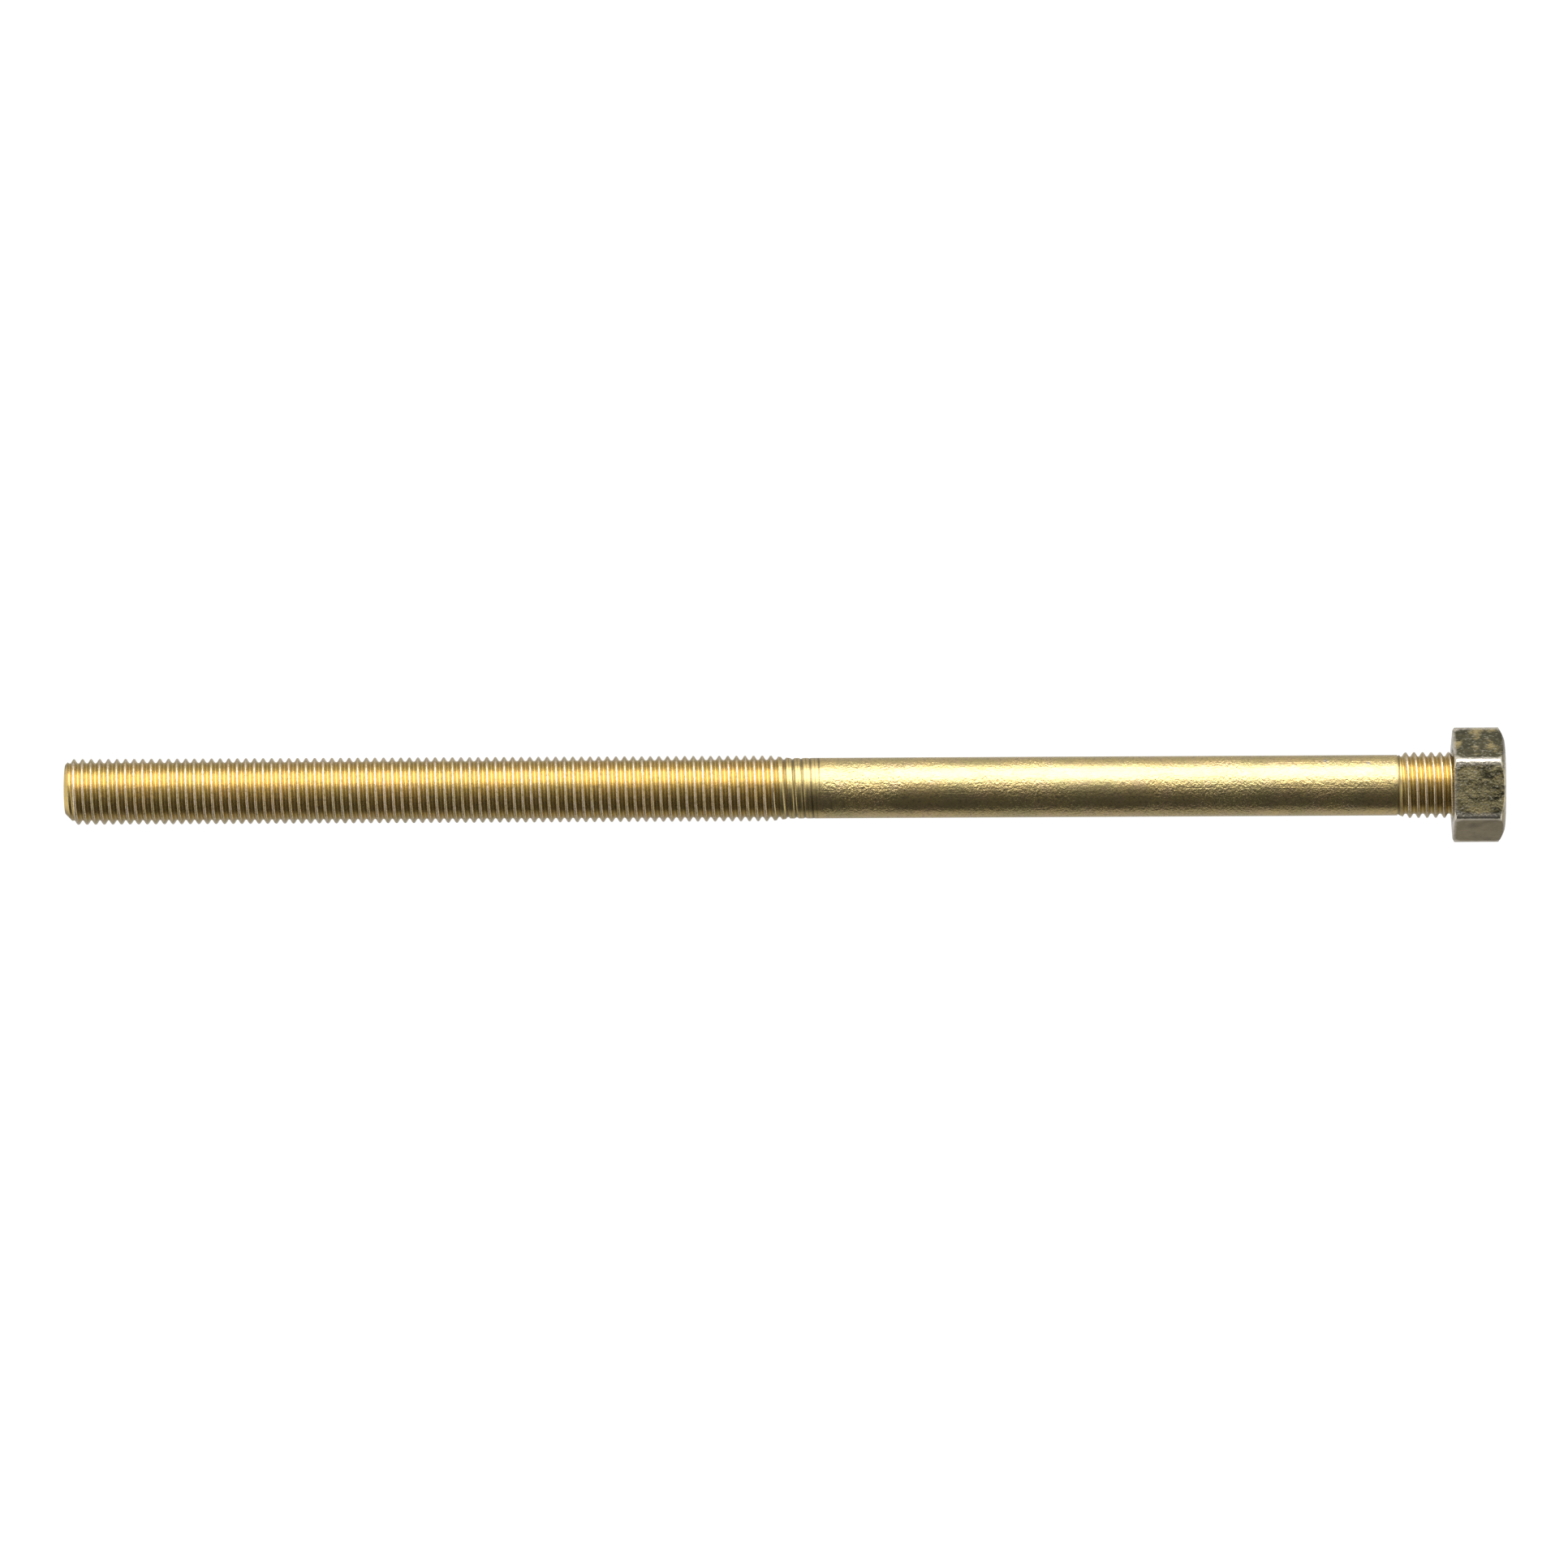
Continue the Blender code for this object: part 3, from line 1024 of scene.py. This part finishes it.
@dataclass(frozen=True)
class DullZinc:
    """The nut's finish: the same chromate on a rough forging, mottled olive, with painted shade on the facet
    that leans to +Y, a painted floor reflection on the facet that leans to -Y, and corners that are partly
    rubbed and partly a painted highlight.
    """

    middle: float
    half_width: float
    flat_radius: float
    olive: Colour = (0.41, 0.345, 0.18)
    dark: Colour = (0.065, 0.06, 0.034)
    # dark clouds of the mottling; also the painted shade on the facet that leans to +Y
    gold: Colour = (0.56, 0.44, 0.20)
    grey: Colour = (0.50, 0.47, 0.36)
    # painted floor reflection on the facet that leans to -Y, in a lighter and a darker tone
    painted_reflection_light: Colour = (0.33, 0.27, 0.16)
    painted_reflection_dark: Colour = (0.19, 0.155, 0.095)
    # painted highlight on the corners and the chamfers' edges, partly also rubbed wear
    rubbed: Colour = (0.84, 0.77, 0.64)
    roughness: float = 0.36
    facet_start: float = math.radians(30)
    facet_end: float = math.radians(90)
    facet_blend: float = math.radians(1.5)

    def material(self) -> bpy.types.Material:
        """Builds the material.

        Returns:
            The material.
        """
        material = bpy.data.materials.new("dull_yellow_zinc")
        graph = FinishGraph(material)
        graph.feed(graph.shader.inputs["Base Color"], self._colour(graph))
        graph.shader.inputs["Metallic"].default_value = 1.0
        cloud = graph.noise(420.0, 3.0, shift=14.0)
        roughness = self.roughness + (cloud - 0.5) * 0.25 - self._rub_and_highlight(graph) * 0.12
        graph.feed(graph.shader.inputs["Roughness"], roughness)
        broad = graph.noise(260.0, 2.0, shift=15.0)
        pits = graph.ramp(graph.noise(1500.0, 3.0, shift=16.0), 0.35, 0.75)
        smooth = 1.0 - self._facet(graph, -1.0) * 0.6
        graph.relief((broad * 0.6 + pits * 0.6) * smooth, 0.12 * MILLIMETRE)
        return material

    def _rub_and_highlight(self, graph: FinishGraph) -> Term:
        """How rubbed and how highlighted each point is: partly real wear and partly a painted highlight, most on
        the corners, flaring where they meet the faces, and at the chamfers' edges.
        """
        from_face = self.half_width - graph.math("ABSOLUTE", graph.x - self.middle)
        # painted highlight: the corner band widens towards the nut's faces
        highlight_flare = (1.0 - graph.ramp(from_face, 0.5 * MILLIMETRE, 2.4 * MILLIMETRE)) * (0.035 * self.flat_radius)
        corner = graph.ramp(graph.radius + highlight_flare, self.flat_radius * 1.10, self.flat_radius * 1.13)
        edge = 1.0 - graph.ramp(from_face, 0.1 * MILLIMETRE, 0.9 * MILLIMETRE)
        uneven = graph.ramp(graph.noise(600.0, 3.0, shift=17.0), 0.30, 0.62)
        return graph.math("MAXIMUM", corner * (0.7 + uneven * 0.3), edge * (uneven * 0.5 + 0.4))

    def _colour(self, graph: FinishGraph) -> bpy.types.NodeSocket:
        """The chromate's colour: olive with dark clouds, gold drifts, a grey speckle, painted shade on the facet
        that leans to +Y, a painted floor reflection on the facet that leans to -Y, and corners that are partly
        rubbed and partly a painted highlight.
        """
        clouds = graph.ramp(graph.noise(330.0, 7.0, stretch=(0.6, 1.0, 1.0), shift=11.0, rough=0.76), 0.43, 0.57)
        drifts = graph.ramp(graph.noise(210.0, 5.0, shift=12.0, rough=0.65), 0.52, 0.66)
        speckle = graph.ramp(graph.noise(1900.0, 3.0, stretch=(0.5, 1.0, 1.0), shift=13.0), 0.55, 0.68)
        upper_facet_shade, lower_facet_reflection = self._facet(graph, 1.0), self._facet(graph, -1.0)
        colour = graph.blend(clouds, self.olive, self.dark)
        # painted shade: the facet that leans to +Y is darkened, with less grey speckle
        colour = graph.blend(upper_facet_shade * 0.9, colour, self.dark)
        colour = graph.blend(drifts * 0.6, colour, self.gold)
        colour = graph.blend(speckle * (0.75 - upper_facet_shade * 0.25), colour, self.grey)
        # painted reflection: the facet that leans to -Y takes the floor's taupe reflection in place of the
        # mottling
        reflection_mottle = graph.ramp(graph.noise(130.0, 3.0, shift=18.0), 0.45, 0.65)
        plain = graph.blend(reflection_mottle, self.painted_reflection_light, self.painted_reflection_dark)
        colour = graph.blend(lower_facet_reflection * (0.97 - clouds * 0.15), colour, plain)
        # painted highlight on the corners and the chamfers' edges, partly rubbed wear
        return graph.blend(self._rub_and_highlight(graph) * 0.8, colour, self.rubbed)

    def _facet(self, graph: FinishGraph, side: float) -> Term:
        """1 on the facet that leans to the +Y or the -Y side of the top flat, 0 elsewhere: where the painted
        shade and the painted floor reflection go, and where the relief is smoother.
        """
        angle = graph.math("ARCTAN2", graph.y * side, graph.z)
        begins = graph.ramp(angle, self.facet_start - self.facet_blend, self.facet_start + self.facet_blend)
        ends = graph.ramp(angle, self.facet_end - self.facet_blend, self.facet_end + self.facet_blend)
        return begins * (1.0 - ends)


# ---------------------------------------------------------------- studio


@dataclass(frozen=True)
class Panel:
    """A soft light: a glowing rectangle that faces the part."""

    name: str
    centre: Triple
    width: float
    height: float
    radiance: float

    def build(self, target: Vector) -> bpy.types.Object:
        """Builds the light.

        Args:
            target: the point that it faces.

        Returns:
            The light.
        """
        light = bpy.data.lights.new(self.name, "AREA")
        light.shape = "RECTANGLE"
        light.size = self.width
        light.size_y = self.height
        light.energy = self.radiance * self.width * self.height * math.pi
        lamp = bpy.data.objects.new(self.name, light)
        bpy.context.scene.collection.objects.link(lamp)
        lamp.location = self.centre
        lamp.rotation_mode = "QUATERNION"
        lamp.rotation_quaternion = (Vector(self.centre) - target).to_track_quat("Z", "Y")
        lamp.visible_camera = False
        return lamp


@dataclass
class Studio:
    """The floor, the room, the lights and the camera."""

    sensor: float = 36.0
    distance: float = 3.05
    pixels_per_metre: float = 4245.0
    image_side: int = 1932
    tilt: float = math.radians(5.0)
    yaw: float = math.radians(0.97)
    roll: float = math.radians(0.38)
    axis_below_centre: float = 1.25 * MILLIMETRE
    clip_end: float = 100.0
    floor_size: float = 30.0
    floor_gap: float = 0.02 * MILLIMETRE
    floor_colour: Colour = (0.05, 0.05, 0.05)
    floor_seen: float = 1.02
    panels: tuple[Panel, ...] = (
        Panel("key_panel", (-0.21, 0.87, 0.50), 2.4, 0.90, 1.2),
        Panel("overhead_panel", (-0.80, 0.09, 1.00), 1.15, 0.50, 0.42),
    )

    def build(self) -> None:
        """Builds everything and makes the camera the scene's own."""
        bpy.context.scene.view_settings.view_transform = "Standard"
        target = Vector(((CAD_LOW.x + CAD_HIGH.x) / 2, 0.0, 0.0))
        self.build_floor()
        Room().build()
        for panel in self.panels:
            panel.build(target)
        self.build_camera(target)

    def build_camera(self, target: Vector) -> None:
        """A long lens almost straight above the part, a little towards its +Y side.

        Args:
            target: the middle of the part.
        """
        camera_data = bpy.data.cameras.new("camera")
        camera_data.sensor_width = self.sensor
        camera_data.lens = self.pixels_per_metre * self.distance * self.sensor / self.image_side
        camera_data.clip_end = self.clip_end
        camera = bpy.data.objects.new("camera", camera_data)
        bpy.context.scene.collection.objects.link(camera)
        overhead = Vector((0.0, math.sin(self.tilt), math.cos(self.tilt)))
        back = (overhead * math.cos(self.yaw) + Vector((math.sin(self.yaw), 0.0, 0.0))).normalized()
        right = Vector((0.0, 1.0, 0.0)).cross(back).normalized()
        up = back.cross(right)
        turned_right = right * math.cos(self.roll) - up * math.sin(self.roll)
        turned_up = back.cross(turned_right)
        aim = target + up * self.axis_below_centre
        rotation = Matrix((turned_right, turned_up, back)).transposed().to_4x4()
        camera.matrix_world = Matrix.Translation(aim + back * self.distance) @ rotation
        bpy.context.scene.camera = camera

    def build_floor(self) -> None:
        """A pale floor under the nut, evenly lit from end to end."""
        bm = bmesh.new()
        bmesh.ops.create_grid(bm, x_segments=1, y_segments=1, size=self.floor_size / 2)
        bmesh.ops.translate(bm, verts=bm.verts, vec=(0.0, 0.0, CAD_LOW.z - self.floor_gap))
        mesh = bpy.data.meshes.new("floor")
        bm.to_mesh(mesh)
        bm.free()
        floor = placed("floor", mesh)
        floor.visible_glossy = False
        floor.visible_shadow = False
        material = bpy.data.materials.new("floor")
        material.use_nodes = True
        shader = material.node_tree.nodes["Principled BSDF"]
        shader.inputs["Base Color"].default_value = (*self.floor_colour, 1.0)
        shader.inputs["Roughness"].default_value = 1.0
        shader.inputs["Specular IOR Level"].default_value = 0.0
        shader.inputs["Emission Color"].default_value = (1.0, 1.0, 1.0, 1.0)
        shader.inputs["Emission Strength"].default_value = self.floor_seen
        floor.data.materials.append(material)


@dataclass(frozen=True)
class Room:
    """The soft light of the room: a long glow beside the part, fading into a dim ceiling and a pale floor."""

    ceiling: float = 0.07
    glow: float = 2.6
    glow_angle: float = math.radians(60)
    glow_half_width: float = math.radians(24)
    fade_up: float = math.radians(15)
    fade_down: float = math.radians(12.5)
    glow_reach: tuple[float, float] = (0.30, 0.70)
    walls: float = 0.92
    walls_reach: tuple[float, float] = (0.48, 0.85)
    floor_near: float = 0.43
    floor_side_loss: float = 0.45
    floor_side_reach: tuple[float, float] = (0.20, 0.50)
    floor_near_depth: tuple[float, float] = (-0.05, 0.35)
    floor_below: float = 0.22
    floor_below_depth: tuple[float, float] = (0.90, 0.99)
    backdrop: float = 1.0

    def build(self) -> None:
        """Builds the room as the scene's world. The camera itself sees only a pale backdrop."""
        world = bpy.data.worlds.new("room")
        bpy.context.scene.world = world
        world.use_nodes = True
        graph = Graph(world.node_tree)
        background = world.node_tree.nodes["Background"]
        parts = graph.node("ShaderNodeSeparateXYZ")
        graph.feed(parts.inputs[0], graph.node("ShaderNodeTexCoord").outputs["Generated"])
        x, y, z = (graph.term(socket) for socket in parts.outputs)
        from_overhead = graph.math("ARCTAN2", y, z)
        off_glow = from_overhead - self.glow_angle
        above = graph.math("MAXIMUM", -1.0 * off_glow - self.glow_half_width, 0.0) / self.fade_up
        below = graph.math("MAXIMUM", off_glow - self.glow_half_width, 0.0) / self.fade_down
        sideways = graph.ramp(graph.math("ABSOLUTE", x), *self.glow_reach)
        glow = self.glow * graph.math("EXPONENT", -1.0 * (above + below)) * (1.0 - sideways)
        walls = self.walls * graph.ramp(graph.math("ABSOLUTE", x), *self.walls_reach)
        side_loss = self.floor_side_loss * graph.ramp(graph.math("ABSOLUTE", x), *self.floor_side_reach)
        near = self.floor_near * graph.ramp(-1.0 * z, *self.floor_near_depth) * (1.0 - side_loss)
        under = self.floor_below * graph.ramp(-1.0 * z, *self.floor_below_depth)
        lit = self.ceiling + glow + walls + near + under
        background.inputs["Color"].default_value = (1.0, 1.0, 1.0, 1.0)
        seen = graph.term(graph.node("ShaderNodeLightPath").outputs["Is Camera Ray"])
        graph.feed(background.inputs["Strength"], lit + (self.backdrop - lit) * seen)


def main() -> None:
    """Builds and dresses each piece, then the studio."""
    logging.basicConfig(level=logging.INFO, format="%(name)s: %(message)s")
    for maker in (Stud(), Nut()):
        piece = maker.build(maker.finish().material())
        maker.dress(piece)
        LOG.info("%s has %d faces", piece.name, len(piece.data.polygons))
    Studio().build()


if __name__ == "__main__":
    main()
